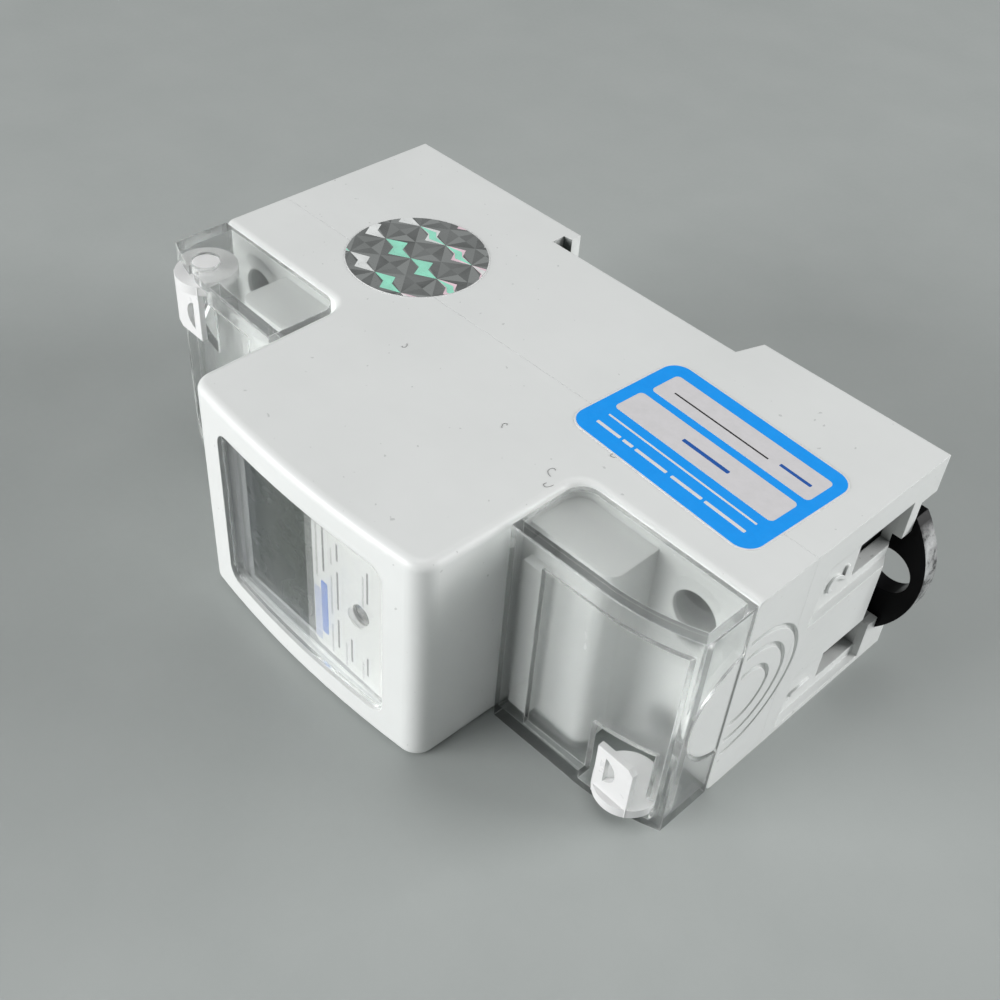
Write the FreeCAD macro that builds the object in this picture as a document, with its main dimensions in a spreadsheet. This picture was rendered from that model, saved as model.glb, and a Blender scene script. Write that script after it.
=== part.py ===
import FreeCAD, Part
import math
import os
import re
import Sketcher

# Two-module energy meter for a 35 mm mounting rail, lying on its flat left side wall.
# X runs along the case from the upper terminals to the latch end.
# Y runs from the bowed front to the rail.
# Z runs up through the width of the case.
# Millimetres. All pieces are drawn about the middle of the case and its front corners.
# Each piece is then shifted so that the origin is under the middle of the whole meter.

doc = FreeCAD.newDocument("rail_meter")
sheet = doc.addObject("Spreadsheet::Sheet", "dims")

SIZES = [
    ("half_long", 50.5, "half the length of the case"),
    ("case_wide", 36.0, "two modules across"),
    ("back_y", 64.65, "back plane of the case"),
    ("bow", 1.5, "how far the front bows out"),
    ("seam_y", 36.4, "joint between the two shells"),
    ("shoulder_y", 25.2, "step beside the nose"),
    ("nose_half", 23.2, "half the nose at the step"),
    ("nose_draft", 0.6, "taper of each nose side"),
    ("nose_round", 3.0, "nose corner rounding"),
    ("corner_round", 2.6, "inner corner between nose and step"),
    ("edge_round", 1.3, "nose edge rounding"),
    ("wall", 1.8, "shell wall"),
    ("front_in", 1.6, "inner face of the front"),
    ("recess_deep", 4.55, "depth of the rail recess"),
    ("recess_wall", 2.0, "wall between the rail recess and the boards"),
    ("rail_left", 16.3, "root of the fixed hook, left of the middle"),
    ("rail_right", 19.0, "latch side of the recess, right of the middle"),
    ("rail_slope", 1.5, "run of the slanted recess wall"),
    ("hook_over", 1.5, "overhang of the fixed hook"),
    ("hook_thick", 1.9, "thickness of the fixed hook"),
    ("end_wall", 2.8, "wall at the end of a clamp chamber"),
    ("side_wall", 3.0, "wall beside a clamp chamber"),
    ("row_low", 1.0, "middle of the terminal rows below the middle of the case"),
    ("divider", 2.7, "wall between a chamber and the boards"),
    ("chamber_long", 10.0, "clamp chamber along the case"),
    ("chamber_wide", 9.6, "clamp chamber across the case"),
    ("well_r", 3.3, "screw access hole"),
    ("tube_r", 4.6, "outside of the screw tube"),
    ("tube_long", 6.0, "length of the screw tube"),
    ("wire_wide", 8.0, "wire entry across the case"),
    ("wire_in", 1.8, "wire entry behind the front of the cage"),
    ("wire_high", 9.3, "wire entry from front to back"),
    ("tray_in", 3.0, "shallow recess behind the seam"),
    ("tray_slant", 1.2, "slanted end of the shallow recess"),
    ("tray_deep", 1.0, "depth of the shallow recess"),
    ("tray_below", 1.7, "shallow recess below the wire entry"),
    ("core_wall", 2.3, "wall beside the empty pocket between two chambers"),
    ("block_gap", 3.3, "space from that block to the screw well"),
    ("block_high", 8.2, "height of the block above the step"),
    ("block_low", 3.0, "side gap of that block"),
    ("block_round", 2.0, "corner of that block"),
    ("rib_in", 1.5, "rib on that block from the nose"),
    ("rib_wide", 3.2, "rib along the case"),
    ("rib_low", 3.4, "foot of the rib"),
    ("rib_long", 26.8, "length of the rib across the case"),
    ("rib_gap", 0.45, "rib behind the cover skin"),
    ("flap_in", 1.8, "centre of the cable knock-out behind the step"),
    ("flap_r", 9.0, "knock-out flap"),
    ("flap_thick", 1.4, "thickness of the flap"),
    ("flap_sunk", 0.2, "flap inside the end wall"),
    ("ring_wide", 0.7, "width of a knock-out groove"),
    ("ring_deep", 0.5, "depth of a knock-out groove"),
    ("ring_start", 0.8, "start of the grooves behind the step"),
    ("ring_one", 5.6, "inner groove"),
    ("ring_two", 8.6, "middle groove"),
    ("ring_three", 11.2, "outer groove"),
    ("window_side", 6.1, "front beside the window"),
    ("window_low", 4.4, "window margin"),
    ("window_round", 2.4, "window corner"),
    ("pane_gap", 0.15, "gap round the pane"),
    ("pane_sunk", 0.5, "pane below the front"),
    ("pane_thick", 1.4, "pane thickness"),
    ("panel_sunk", 0.8, "display and plate behind the front wall"),
    ("holder_room", 2.2, "room beside the display holder"),
    ("holder_play", 0.6, "play of the display holder across the case"),
    ("holder_deep", 4.4, "depth of the display holder"),
    ("lcd_margin", 2.5, "grey margin left of the display"),
    ("lcd_right", 0.4, "right edge of the display from the middle"),
    ("lcd_side", 0.6, "grey margin along the display"),
    ("lcd_thick", 1.8, "thickness of the display"),
    ("plate_thick", 0.4, "thickness of the name plate"),
    ("lamp_x", 10.1, "pulse lamp from the middle"),
    ("lamp_low", 0.6, "pulse lamp below the middle"),
    ("lamp_r", 1.5, "pulse lamp"),
    ("board_thick", 1.6, "circuit board"),
    ("board_in", 4.8, "where the main board widens, behind the step"),
    ("board_side", 4.2, "room beside the main board in the nose"),
    ("board_gap", 1.6, "gap between the two boards"),
    ("board_flare", 8.0, "slanted edge of the main board"),
    ("part_edge", 5.0, "supply capacitor from the edge of the board"),
    ("part_in", 2.6, "supply capacitor behind the seam"),
    ("supply_long", 18.0, "supply capacitor length"),
    ("supply_wide", 8.0, "supply capacitor width"),
    ("supply_high", 12.0, "supply capacitor height"),
    ("can_edge", 13.0, "smoothing capacitor from the edge of the board"),
    ("can_in", 5.6, "smoothing capacitor behind the seam"),
    ("can_r", 4.0, "smoothing capacitor"),
    ("can_high", 12.0, "smoothing capacitor height"),
    ("chip_long", 10.0, "meter chip length"),
    ("chip_wide", 8.0, "meter chip width"),
    ("chip_high", 1.8, "meter chip height"),
    ("chip_ahead", 5.2, "meter chip ahead of the step"),
    ("header_long", 18.0, "board header length"),
    ("header_wide", 5.2, "board header width"),
    ("header_high", 2.5, "board header height"),
    ("bar_gap", 0.3, "gap between a cage plate and its bar"),
    ("bar_thick", 1.5, "current bar thickness"),
    ("bar_wide", 6.0, "current bar width"),
    ("bar_short", 0.7, "end of a current bar from the chamber wall"),
    ("shunt_half", 8.0, "half the measuring shunt"),
    ("slot_play", 0.3, "play round a current bar"),
    ("cage_play", 0.3, "play of a clamp cage in its chamber"),
    ("cage_in", 11.3, "clamp cage behind the seam"),
    ("cage_top", 2.0, "threaded plate of the cage"),
    ("cage_room", 8.0, "window of the cage"),
    ("cage_floor", 1.5, "floor of the cage"),
    ("cage_side", 1.2, "side of the cage"),
    ("thread_r", 2.2, "terminal screw shank"),
    ("thread_play", 0.05, "play of the shank"),
    ("head_r", 3.9, "terminal screw head"),
    ("head_gap", 0.3, "screw head behind its tube"),
    ("head_high", 3.0, "height of the screw head"),
    ("slot_wide", 1.0, "driver slot"),
    ("slot_deep", 1.6, "driver slot depth"),
    ("cover_gap", 0.3, "gap between cover and nose"),
    ("cover_side", 0.1, "cover inside the case width"),
    ("cover_high", 12.2, "terminal cover ahead of the step"),
    ("bend_in", 13.5, "where the cover front starts to bend, from the end"),
    ("cover_drop", 3.3, "how far the bend falls back"),
    ("cover_slant", 0.4, "fall of the straight part"),
    ("cover_round", 33.0, "radius of the bend"),
    ("seat_gap", 0.1, "gap under a cover"),
    ("cover_corner", 2.9, "corner of a cover at the foot of the nose"),
    ("cover_end", 1.4, "end wall of a cover"),
    ("cover_skin", 1.2, "front skin of a cover"),
    ("cover_sink", 0.9, "sunk front panel"),
    ("cover_rail", 3.3, "raised edge along a cover"),
    ("cover_rim", 5.3, "raised edge beside the nose"),
    ("arch_gap", 0.5, "gap between the cable arch and the flap"),
    ("knob_in", 6.6, "seal knob from the end"),
    ("knob_deep", 4.0, "seal knob axis behind the cover front"),
    ("knob_r", 4.6, "seal knob disc"),
    ("knob_low", 1.7, "underside of the disc"),
    ("knob_thick", 1.5, "disc thickness"),
    ("stem_r", 2.0, "seal knob stem"),
    ("stem_low", 0.4, "end of the stem"),
    ("fin_half", 2.9, "half the fin"),
    ("fin_out", 3.7, "front of the fin from the axis"),
    ("fin_thick", 0.9, "fin thickness"),
    ("fin_top", 11.1, "top of the fin"),
    ("fin_hole", 2.4, "round side of the hole for the seal wire"),
    ("fin_hole_half", 2.3, "half the straight side of that hole"),
    ("fin_hole_in", 1.5, "straight side of that hole from the edge of the fin"),
    ("fin_hole_low", 3.6, "middle of that hole below the top of the fin"),
    ("fin_slant", 0.8, "slanted corner of the fin"),
    ("niche_left", 5.2, "niche towards the nose from the axis"),
    ("niche_right", 3.4, "niche towards the end from the axis"),
    ("niche_gap", 0.3, "gap round the disc in its niche"),
    ("niche_deep", 6.2, "depth of the niche"),
    ("niche_top", 12.4, "top of the niche"),
    ("rim_cut_left", 1.7, "gap in the cover edge, towards the nose from the axis"),
    ("rim_cut_right", 0.2, "gap in the cover edge, towards the end from the axis"),
    ("rim_cut_deep", 1.6, "depth of that gap"),
    ("latch_back", 3.35, "front face of the rail latch ahead of the back"),
    ("latch_thick", 2.0, "latch slider thickness"),
    ("latch_play", 0.2, "play of the latch"),
    ("latch_over", 1.8, "tip of the latch tongue over the rail"),
    ("latch_bevel", 1.2, "bevel of the tongue"),
    ("latch_half", 10.9, "half the slider"),
    ("tab_in", 4.3, "where the pull tab starts, from the end"),
    ("tab_half", 10.7, "half the pull tab"),
    ("tab_shift", 1.8, "middle of the pull tab below the middle of the case"),
    ("tab_out", 4.1, "pull tab beyond the case"),
    ("tab_thick", 2.8, "pull tab thickness"),
    ("tab_hole", 3.7, "hole in the pull tab"),
    ("tab_hole_in", 1.4, "centre of that hole from the end"),
    ("tab_play", 0.3, "play round the pull tab"),
    ("lip_over", 2.2, "lip over each latch edge"),
    ("scoop_high", 5.1, "height of the scoop behind the tab"),
    ("scoop_deep", 2.6, "depth of the scoop"),
    ("scoop_half", 8.5, "half the scoop"),
    ("mouth_side", 6.2, "room for the tab below the upper side wall"),
    ("seal_in", 24.7, "round sticker from the end"),
    ("seal_behind", 5.0, "round sticker behind the seam"),
    ("seal_r", 10.6, "round sticker"),
    ("label_in", 20.5, "label from the end"),
    ("label_behind", 4.8, "label behind the seam"),
    ("label_long", 31.2, "label length"),
    ("label_wide", 20.6, "label width"),
    ("label_round", 2.8, "label corner"),
    ("label_turn", -3.2, "label slant in degrees"),
    ("film", 0.12, "sticker thickness"),
]
for row, (alias, value, words) in enumerate(SIZES, start=1):
    sheet.set("A%d" % row, words)
    sheet.set("B%d" % row, str(value))
    sheet.setAlias("B%d" % row, alias)
doc.recompute()

# Places that follow from the sizes
PLACES = {
    "mid_z": "case_wide / 2",
    "row_z": "mid_z - side_wall - chamber_wide / 2",
    "row_mid": "mid_z - row_low",
    "floor_y": "back_y - recess_deep",
    "cavity_y": "floor_y - recess_wall",
    "chamber_x": "half_long - end_wall - chamber_long",
    "chamber_y": "cage_y + cage_top + cage_room + cage_floor + cage_play",
    "cavity_half": "chamber_x - divider",
    "core_wide": "2 * row_z - chamber_wide - 2 * core_wall",
    "screw_x": "chamber_x + chamber_long / 2",
    "tube_y": "shoulder_y + tube_long",
    "head_y": "tube_y + head_gap",
    "cage_y": "seam_y + cage_in",
    "cage_long": "chamber_long - 2 * cage_play",
    "cage_wide": "chamber_wide - 2 * cage_play",
    "tip_y": "cage_y + cage_top",
    "bar_y": "tip_y + bar_gap",
    "bar_end": "chamber_x + chamber_long - bar_short",
    "wire_near": "cage_y + wire_in",
    "wire_far": "wire_near + wire_high",
    "tray_near": "seam_y + tray_in",
    "block_end": "screw_x - well_r - block_gap",
    "block_y": "shoulder_y - block_high",
    "rib_y": "cover_y + cover_sink + cover_skin + rib_gap",
    "corner_x": "nose_half - nose_draft * corner_round / shoulder_y",
    "flap_y": "shoulder_y + flap_in",
    "arch_r": "flap_r + arch_gap",
    "window_half": "nose_half - nose_draft - window_side",
    "panel_y": "front_in + panel_sunk",
    "holder_half": "nose_half - nose_draft - wall - holder_room",
    "holder_low": "wall + holder_play",
    "holder_back": "front_in + holder_deep",
    "lcd_left": "window_half - lcd_margin",
    "lcd_low": "window_low + lcd_side",
    "lamp_z": "mid_z - lamp_low",
    "board_top": "mid_z + board_thick / 2",
    "board_step": "shoulder_y + board_in",
    "board_neck": "nose_half - board_side",
    "board_tip": "holder_back + board_thick + board_gap",
    "can_x": "cavity_half - can_edge",
    "can_y": "seam_y + can_in",
    "cover_y": "shoulder_y - cover_high",
    "cover_bend": "half_long - bend_in",
    "cover_seat": "shoulder_y - seat_gap",
    "knob_x": "half_long - knob_in",
    "knob_y": "cover_y + knob_deep",
    "latch_y": "back_y - latch_back",
    "latch_tip": "rail_right - latch_over",
    "latch_neck": "half_long - tab_in",
    "tab_hole_x": "half_long - tab_hole_in",
    "tab_z": "mid_z - tab_shift",
    "mouth_low": "tab_z - tab_half - tab_play",
    "mouth_top": "case_wide - mouth_side",
    "scoop_y": "latch_y - scoop_high",
    "bow_r": "((nose_half - nose_draft) ^ 2 + bow ^ 2) / (2 * bow)",
    "bow_y": "bow_r - bow",
    "shift_x": "-tab_out / 2",
    "shift_y": "-(back_y - bow) / 2",
}
ALIAS = re.compile(r"\b(" + "|".join(name for name, value, words in SIZES) + r")\b")
PLACE = re.compile(r"\b(" + "|".join(PLACES) + r")\b")


def spell_out(rule):
    while PLACE.search(rule):
        rule = PLACE.sub(lambda found: "(%s)" % PLACES[found.group(1)], rule)
    return rule


def bind(thing, prop, rule):
    thing.setExpression(prop, ALIAS.sub(r"dims.\1", spell_out(rule)))


def number(rule):
    return float(sheet.evalExpression(spell_out(rule)))


def flip(side, rule):
    return rule if side > 0 else "-(%s)" % rule


def turned(side, rule):
    return rule if side > 0 else "case_wide - (%s)" % rule


def settle(piece, label):
    piece.Label = label
    bind(piece, "Placement.Base.x", "shift_x")
    bind(piece, "Placement.Base.y", "shift_y")
    return piece


# Sketch helpers


def new_body(label):
    return settle(doc.addObject("PartDesign::Body", label), label)


def sketch_on(body, name, role, offset):
    plane = [item for item in body.Origin.OriginFeatures if item.Role == role][0]
    sketch = body.newObject("Sketcher::SketchObject", name)
    sketch.AttachmentSupport = [(plane, "")]
    sketch.MapMode = "FlatFace"
    bind(sketch, "AttachmentOffset.Base.z", offset)
    return sketch


def fix_point(sketch, geo, pos, across, along):
    for kind, rule in (("DistanceX", across), ("DistanceY", along)):
        index = sketch.addConstraint(Sketcher.Constraint(kind, -1, 1, geo, pos, number(rule)))
        bind(sketch, "Constraints[%d]" % index, rule)


def add_arc(sketch, first, last, radius, bulge):
    chord = last - first
    reach = number(radius)
    left = FreeCAD.Vector(-chord.y, chord.x, 0).normalize()
    centre = (first + last) * 0.5 + left * math.sqrt(reach ** 2 - chord.Length ** 2 / 4) * bulge
    begin, finish = (first, last) if bulge > 0 else (last, first)
    angles = [math.atan2(point.y - centre.y, point.x - centre.x) for point in (begin, finish)]
    full = Part.Circle(centre, FreeCAD.Vector(0, 0, 1), reach)
    geo = sketch.addGeometry(Part.ArcOfCircle(full, *angles))
    index = sketch.addConstraint(Sketcher.Constraint("Radius", geo, reach))
    bind(sketch, "Constraints[%d]" % index, radius)
    return geo, (1, 2) if bulge > 0 else (2, 1)


def outline(sketch, corners, arcs=None, bulge=1):
    arcs = arcs or {}
    points = [FreeCAD.Vector(number(a), number(b), 0) for a, b in corners]
    sides = []
    for i, first in enumerate(points):
        last = points[(i + 1) % len(points)]
        if i in arcs:
            radius, turn = arcs[i] if isinstance(arcs[i], tuple) else (arcs[i], 1)
            sides.append(add_arc(sketch, first, last, radius, turn * bulge))
        else:
            sides.append((sketch.addGeometry(Part.LineSegment(first, last)), (1, 2)))
    for i, (geo, ends) in enumerate(sides):
        after, after_ends = sides[(i + 1) % len(sides)]
        sketch.addConstraint(Sketcher.Constraint("Coincident", geo, ends[1], after, after_ends[0]))
        fix_point(sketch, geo, ends[0], *corners[i])


def rectangle(sketch, left, right, low, high):
    outline(sketch, [(left, low), (right, low), (right, high), (left, high)])


def rounded(sketch, left, right, low, high, radius):
    corners = [
        ("%s + %s" % (left, radius), low), ("%s - %s" % (right, radius), low),
        (right, "%s + %s" % (low, radius)), (right, "%s - %s" % (high, radius)),
        ("%s - %s" % (right, radius), high), ("%s + %s" % (left, radius), high),
        (left, "%s - %s" % (high, radius)), (left, "%s + %s" % (low, radius)),
    ]
    outline(sketch, corners, {1: radius, 3: radius, 5: radius, 7: radius})


def circle(sketch, across, along, radius):
    centre = FreeCAD.Vector(number(across), number(along), 0)
    up = FreeCAD.Vector(0, 0, 1)
    geo = sketch.addGeometry(Part.Circle(centre, up, number(radius)))
    index = sketch.addConstraint(Sketcher.Constraint("Radius", geo, number(radius)))
    bind(sketch, "Constraints[%d]" % index, radius)
    fix_point(sketch, geo, 3, across, along)


def raise_or_sink(body, kind, name, sketch, length, back=False):
    feature = body.newObject(kind, name)
    feature.Profile = sketch
    bind(feature, "Length", length)
    feature.Reversed = back
    sketch.Visibility = False
    doc.recompute()
    return feature


def pad(body, name, sketch, length, back=False):
    return raise_or_sink(body, "PartDesign::Pad", name, sketch, length, back)


def pocket(body, name, sketch, length, back=False):
    return raise_or_sink(body, "PartDesign::Pocket", name, sketch, length, back)


def round_edges(body, name, chosen, radius, kind="PartDesign::Fillet", prop="Radius"):
    tip = body.Tip
    names = ["Edge%d" % (i + 1) for i, edge in enumerate(tip.Shape.Edges) if chosen(edge)]
    feature = body.newObject(kind, name)
    feature.Base = (tip, names)
    bind(feature, prop, radius)
    doc.recompute()
    return feature


# Solid helpers


def box(name, low, size):
    piece = doc.addObject("Part::Box", name)
    for prop, rule in zip(("Length", "Width", "Height"), size):
        bind(piece, prop, rule)
    for axis, rule in zip("xyz", low):
        bind(piece, "Placement.Base." + axis, rule)
    return piece


def rod(name, base, radius, length, along_y=True):
    piece = doc.addObject("Part::Cylinder", name)
    bind(piece, "Radius", radius)
    bind(piece, "Height", length)
    turn = FreeCAD.Rotation(FreeCAD.Vector(1, 0, 0), -90 if along_y else 0)
    piece.Placement = FreeCAD.Placement(FreeCAD.Vector(0, 0, 0), turn)
    for axis, rule in zip("xyz", base):
        bind(piece, "Placement.Base." + axis, rule)
    return piece


def join(name, pieces):
    result = doc.addObject("Part::MultiFuse", name)
    result.Shapes = pieces
    return result


def subtract(name, base, tool):
    result = doc.addObject("Part::Cut", name)
    result.Base = base
    result.Tool = tool
    return result


def moved_box(label, low, size):
    low = (low[0] + " + shift_x", low[1] + " + shift_y", low[2])
    piece = box(label, low, size)
    piece.Label = label
    return piece


ROWS = {"live": "row_mid + row_z", "neutral": "row_mid - row_z"}
ENDS = {"lower": 1, "upper": -1}


def upright(edge):
    return abs(edge.BoundBox.ZLength) > 1 and edge.BoundBox.XLength < 1e-3 and edge.BoundBox.YLength < 1e-3


# Front shell: nose, steps with screw tubes, blocks beside the nose, cable knock-outs


def front_shell():
    body = new_body("front_housing")
    sk = sketch_on(body, "front_outline", "XY_Plane", "0")
    outline(sk, [
        ("-half_long", "seam_y"), ("-half_long", "shoulder_y"),
        ("-(nose_half + corner_round)", "shoulder_y"), ("-corner_x", "shoulder_y - corner_round"),
        ("-(nose_half - nose_draft)", "0"), ("nose_half - nose_draft", "0"),
        ("corner_x", "shoulder_y - corner_round"), ("nose_half + corner_round", "shoulder_y"),
        ("half_long", "shoulder_y"), ("half_long", "seam_y"),
    ], {2: ("corner_round", -1), 4: "bow_r", 6: ("corner_round", -1)})
    pad(body, "front_block", sk, "case_wide")
    round_edges(body, "nose_corners",
                lambda e: upright(e) and abs(e.BoundBox.YMin) < 0.01, "nose_round")
    round_edges(body, "nose_edges", nose_rim, "edge_round")
    sk = sketch_on(body, "front_cavity_outline", "XY_Plane", "case_wide - wall")
    outline(sk, [
        ("-(half_long - wall)", "seam_y"), ("-(half_long - wall)", "shoulder_y + wall"),
        ("-(nose_half - wall)", "shoulder_y + wall"), ("-(nose_half - nose_draft - wall)", "front_in"),
        ("nose_half - nose_draft - wall", "front_in"), ("nose_half - wall", "shoulder_y + wall"),
        ("half_long - wall", "shoulder_y + wall"), ("half_long - wall", "seam_y"),
    ])
    pocket(body, "front_cavity", sk, "case_wide - 2 * wall")
    sk = sketch_on(body, "window_outline", "XZ_Plane", "bow + 1")
    rounded(sk, "-window_half", "window_half", "window_low", "case_wide - window_low", "window_round")
    pocket(body, "window", sk, "bow + 1 + front_in")
    for end, side in ENDS.items():
        nose_block(body, end, side)
        screw_tubes(body, end, side)
        knock_out(body, end, side)
    return body


def nose_rim(edge):
    limits = edge.BoundBox
    flat = limits.ZLength < 1e-3
    outer = min(abs(limits.ZMin), abs(limits.ZMin - number("case_wide"))) < 0.01
    ahead = limits.YMin < number("shoulder_y") - 1
    return flat and outer and ahead


def nose_block(body, end, side):
    def across(rule):
        return flip(side, rule)
    sk = sketch_on(body, "block_outline_" + end, "XY_Plane", "block_low")
    outline(sk, [
        (across("nose_half - 1"), "block_y"), (across("block_end - block_round"), "block_y"),
        (across("block_end"), "block_y + block_round"), (across("block_end"), "shoulder_y + 0.5"),
        (across("nose_half - 1"), "shoulder_y + 0.5"),
    ], {1: "block_round"}, side)
    pad(body, "block_" + end, sk, "case_wide - 2 * block_low")
    sk = sketch_on(body, "rib_outline_" + end, "XY_Plane", "rib_low")
    rectangle(sk, across("nose_half + rib_in"), across("nose_half + rib_in + rib_wide"),
              "rib_y", "block_y + 0.5")
    pad(body, "rib_" + end, sk, "rib_long")
    sk = sketch_on(body, "block_room_outline_" + end, "XY_Plane", "case_wide - block_low - wall")
    rectangle(sk, across("nose_half + 0.8"), across("block_end - wall"),
              "block_y + wall", "shoulder_y + wall")
    pocket(body, "block_room_" + end, sk, "case_wide - 2 * block_low - 2 * wall")


def screw_tubes(body, end, side):
    tubes = sketch_on(body, "tube_outline_" + end, "XZ_Plane", "-tube_y")
    for height in ROWS.values():
        circle(tubes, flip(side, "screw_x"), height, "tube_r")
    pad(body, "tubes_" + end, tubes, "tube_y - shoulder_y - 0.5")
    wells = sketch_on(body, "well_outline_" + end, "XZ_Plane", "-(shoulder_y - 0.5)")
    for height in ROWS.values():
        circle(wells, flip(side, "screw_x"), height, "well_r")
    pocket(body, "wells_" + end, wells, "tube_y - shoulder_y + 1")


def knock_out(body, end, side):
    reach = "sqrt(flap_r ^ 2 - (flap_y - shoulder_y - 0.5) ^ 2)"
    start = flip(side, "half_long - flap_thick - flap_sunk")
    sk = sketch_on(body, "flap_outline_" + end, "YZ_Plane", start)
    outline(sk, [
        ("shoulder_y + 0.5", "mid_z - " + reach), ("shoulder_y + 0.5", "mid_z + " + reach),
    ], {1: "flap_r"})
    pad(body, "flap_" + end, sk, "flap_thick", back=side < 0)
    for word in ("one", "two", "three"):
        groove(body, "ring_%s_%s" % (word, end), side, "ring_" + word)


def groove(body, name, side, radius):
    sk = sketch_on(body, name + "_outline", "YZ_Plane", flip(side, "half_long - ring_deep"))
    start = "shoulder_y + ring_start"
    outer = "sqrt(%s ^ 2 - (flap_y - %s) ^ 2)" % (radius, start)
    thin = "(%s - ring_wide)" % radius
    inner = "sqrt(%s ^ 2 - (flap_y - %s) ^ 2)" % (thin, start)
    front = [sign + reach for sign, reach in (("mid_z - ", outer), ("mid_z + ", outer),
                                              ("mid_z + ", inner), ("mid_z - ", inner))]
    far_outer = "flap_y + %s" % radius
    far_inner = "flap_y + %s" % thin
    outline(sk, [
        (start, front[0]), (far_outer, "mid_z"), (start, front[1]),
        (start, front[2]), (far_inner, "mid_z"), (start, front[3]),
    ], {0: radius, 1: radius, 3: (thin, -1), 4: (thin, -1)})
    pocket(body, name, sk, "ring_deep + 0.5", back=side > 0)


# Rear shell: boards' room, four clamp chambers, wire entries, rail recess and latch channel


def rear_shell():
    body = new_body("rear_housing")
    sk = sketch_on(body, "rear_outline", "XY_Plane", "0")
    outline(sk, [
        ("-half_long", "seam_y"), ("half_long", "seam_y"), ("half_long", "back_y"),
        ("rail_right + rail_slope", "back_y"), ("rail_right", "floor_y"), ("-rail_left", "floor_y"),
        ("-rail_left", "back_y - hook_thick - 0.2"), ("-(rail_left - hook_over)", "back_y - hook_thick"),
        ("-(rail_left - hook_over)", "back_y"), ("-half_long", "back_y"),
    ])
    pad(body, "rear_block", sk, "case_wide")
    sk = sketch_on(body, "rear_rooms_outline", "XZ_Plane", "-seam_y")
    rectangle(sk, "-cavity_half", "cavity_half", "wall", "case_wide - wall")
    pocket(body, "board_room", sk, "cavity_y - seam_y")
    sk = sketch_on(body, "chambers_outline", "XZ_Plane", "-seam_y")
    for side in ENDS.values():
        ends = [flip(side, "chamber_x"), flip(side, "chamber_x + chamber_long")]
        for height in ROWS.values():
            rectangle(sk, *ends, height + " - chamber_wide / 2", height + " + chamber_wide / 2")
        rectangle(sk, *ends, "row_mid - core_wide / 2", "row_mid + core_wide / 2")
    pocket(body, "chambers", sk, "chamber_y - seam_y")
    for end, side in ENDS.items():
        wire_entries(body, end, side)
        groove(body, "rear_ring_" + end, side, "ring_three")
    latch_channel(body)
    return body


def wire_entries(body, end, side):
    holes = sketch_on(body, "entry_outline_" + end, "YZ_Plane", flip(side, "half_long + 0.5"))
    trays = sketch_on(body, "recess_outline_" + end, "YZ_Plane", flip(side, "half_long + 0.5"))
    slots = sketch_on(body, "bar_slot_outline_" + end, "YZ_Plane", flip(side, "chamber_x + 0.2"))
    for height in ROWS.values():
        low = height + " - wire_wide / 2"
        high = height + " + wire_wide / 2"
        rectangle(holes, "wire_near", "wire_far", low, high)
        ledge = low + " - tray_below"
        outline(trays, [("tray_near", ledge), ("wire_far", ledge),
                        ("wire_far", high), ("tray_near + tray_slant", high)])
        rectangle(slots, "bar_y - slot_play", "bar_y + bar_thick + slot_play",
                  height + " - bar_wide / 2 - slot_play", height + " + bar_wide / 2 + slot_play")
    pocket(body, "entries_" + end, holes, "half_long + 1 - chamber_x - chamber_long", back=side < 0)
    pocket(body, "recesses_" + end, trays, "tray_deep + 0.5", back=side < 0)
    pocket(body, "bar_slots_" + end, slots, "chamber_x - cavity_half + 0.4", back=side < 0)


def latch_channel(body):
    channel_y = "latch_y - latch_play"
    sk = sketch_on(body, "channel_outline", "XZ_Plane", "-(%s)" % channel_y)
    rectangle(sk, "rail_right - 1", "latch_neck", "mid_z - latch_half - latch_play",
              "mid_z + latch_half + latch_play")
    pocket(body, "channel", sk, "latch_thick + 2 * latch_play")
    sk = sketch_on(body, "channel_mouth_outline", "XZ_Plane", "-(%s)" % channel_y)
    rectangle(sk, "rail_right - 1", "latch_neck", "mid_z - latch_half + lip_over",
              "mid_z + latch_half - lip_over")
    pocket(body, "channel_mouth", sk, "back_y - latch_y + 1")
    sk = sketch_on(body, "channel_end_outline", "XZ_Plane", "-(%s)" % channel_y)
    rectangle(sk, "latch_neck - tab_play", "half_long + 1", "mouth_low", "mouth_top")
    pocket(body, "channel_end", sk, "back_y - latch_y + 1")
    sk = sketch_on(body, "scoop_outline", "XY_Plane", "tab_z + scoop_half")
    inner = "half_long - scoop_deep"
    outline(sk, [("half_long", "scoop_y"), ("half_long + 1", "scoop_y"),
                 ("half_long + 1", channel_y + " + 0.2"), (inner, channel_y + " + 0.2"),
                 (inner, channel_y)])
    pocket(body, "scoop", sk, "2 * scoop_half")


# Display: pane, holder, liquid-crystal panel, name plate, lamp and board behind them


def pane():
    body = new_body("display_window")
    sk = sketch_on(body, "pane_outline", "XY_Plane", "window_low + pane_gap")
    half = "(window_half - pane_gap)"
    outer = "(bow_r - pane_sunk)"
    inner = "(bow_r - pane_sunk - pane_thick)"
    front = "bow_y - sqrt(%s ^ 2 - %s ^ 2)" % (outer, half)
    back = "bow_y - sqrt(%s ^ 2 - %s ^ 2)" % (inner, half)
    outline(sk, [("-" + half, front), (half, front), (half, back), ("-" + half, back)],
            {0: outer, 2: (inner, -1)})
    pad(body, "pane_block", sk, "case_wide - 2 * window_low - 2 * pane_gap")
    round_edges(body, "pane_corners", along_depth, "window_round - pane_gap")
    return body


def along_depth(edge):
    limits = edge.BoundBox
    return limits.YLength > 0.5 and limits.XLength < 1e-3 and limits.ZLength < 1e-3


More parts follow.
